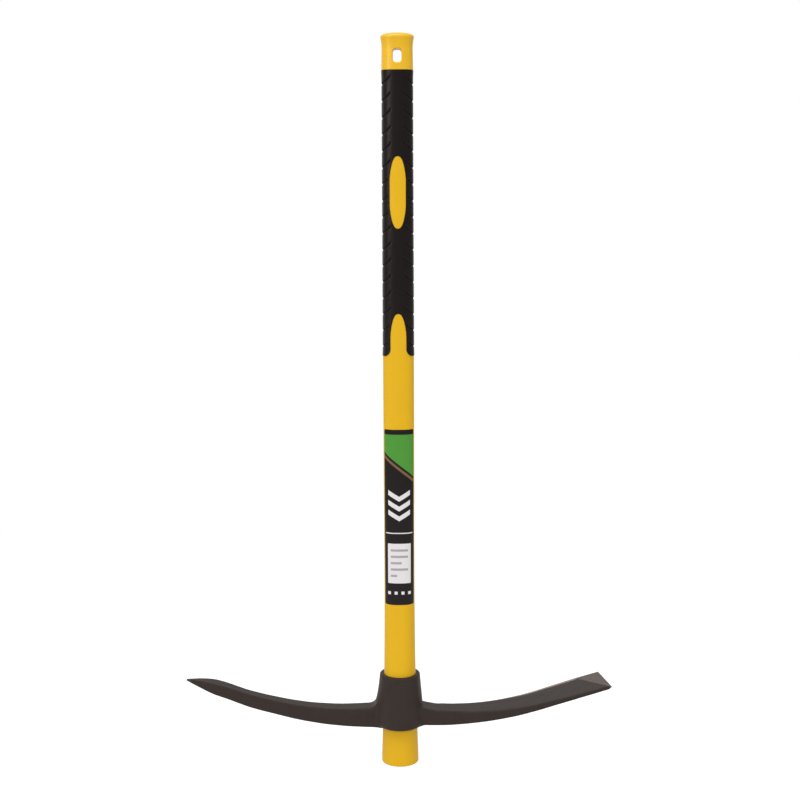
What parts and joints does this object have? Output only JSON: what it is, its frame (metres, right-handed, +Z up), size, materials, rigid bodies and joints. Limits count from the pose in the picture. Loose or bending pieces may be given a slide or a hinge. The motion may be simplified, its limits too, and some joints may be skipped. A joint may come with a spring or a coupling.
{
  "type": "pick axe",
  "caption": "Digging pick with a curved steel head, pointed at one end and chisel-edged at the other, on a straight cored plastic handle with a soft ribbed grip and a hanging slot.",
  "frame": {"origin": "centre of the flat butt face, the lower end of the handle", "axes": "+Z up along the handle towards the grip, -X towards the point, +X towards the chisel edge, -Y the front that carries the label"},
  "size_m": [0.5615, 0.0644, 0.95],
  "materials": {
    "forged_steel": "dark lacquered forging, satin",
    "yellow_plastic": "moulded, satin",
    "fibreglass": "pultruded rod",
    "soft_grip": "moulded elastomer, matt",
    "label_film": "printed film"
  },
  "bodies": {
    "root": {"pick_head": "forged_steel", "handle_jacket": "yellow_plastic", "fibreglass_core": "fibreglass", "grip_sleeve": "soft_grip", "end_cap": "yellow_plastic", "label": "label_film"}
  },
  "joints": []
}
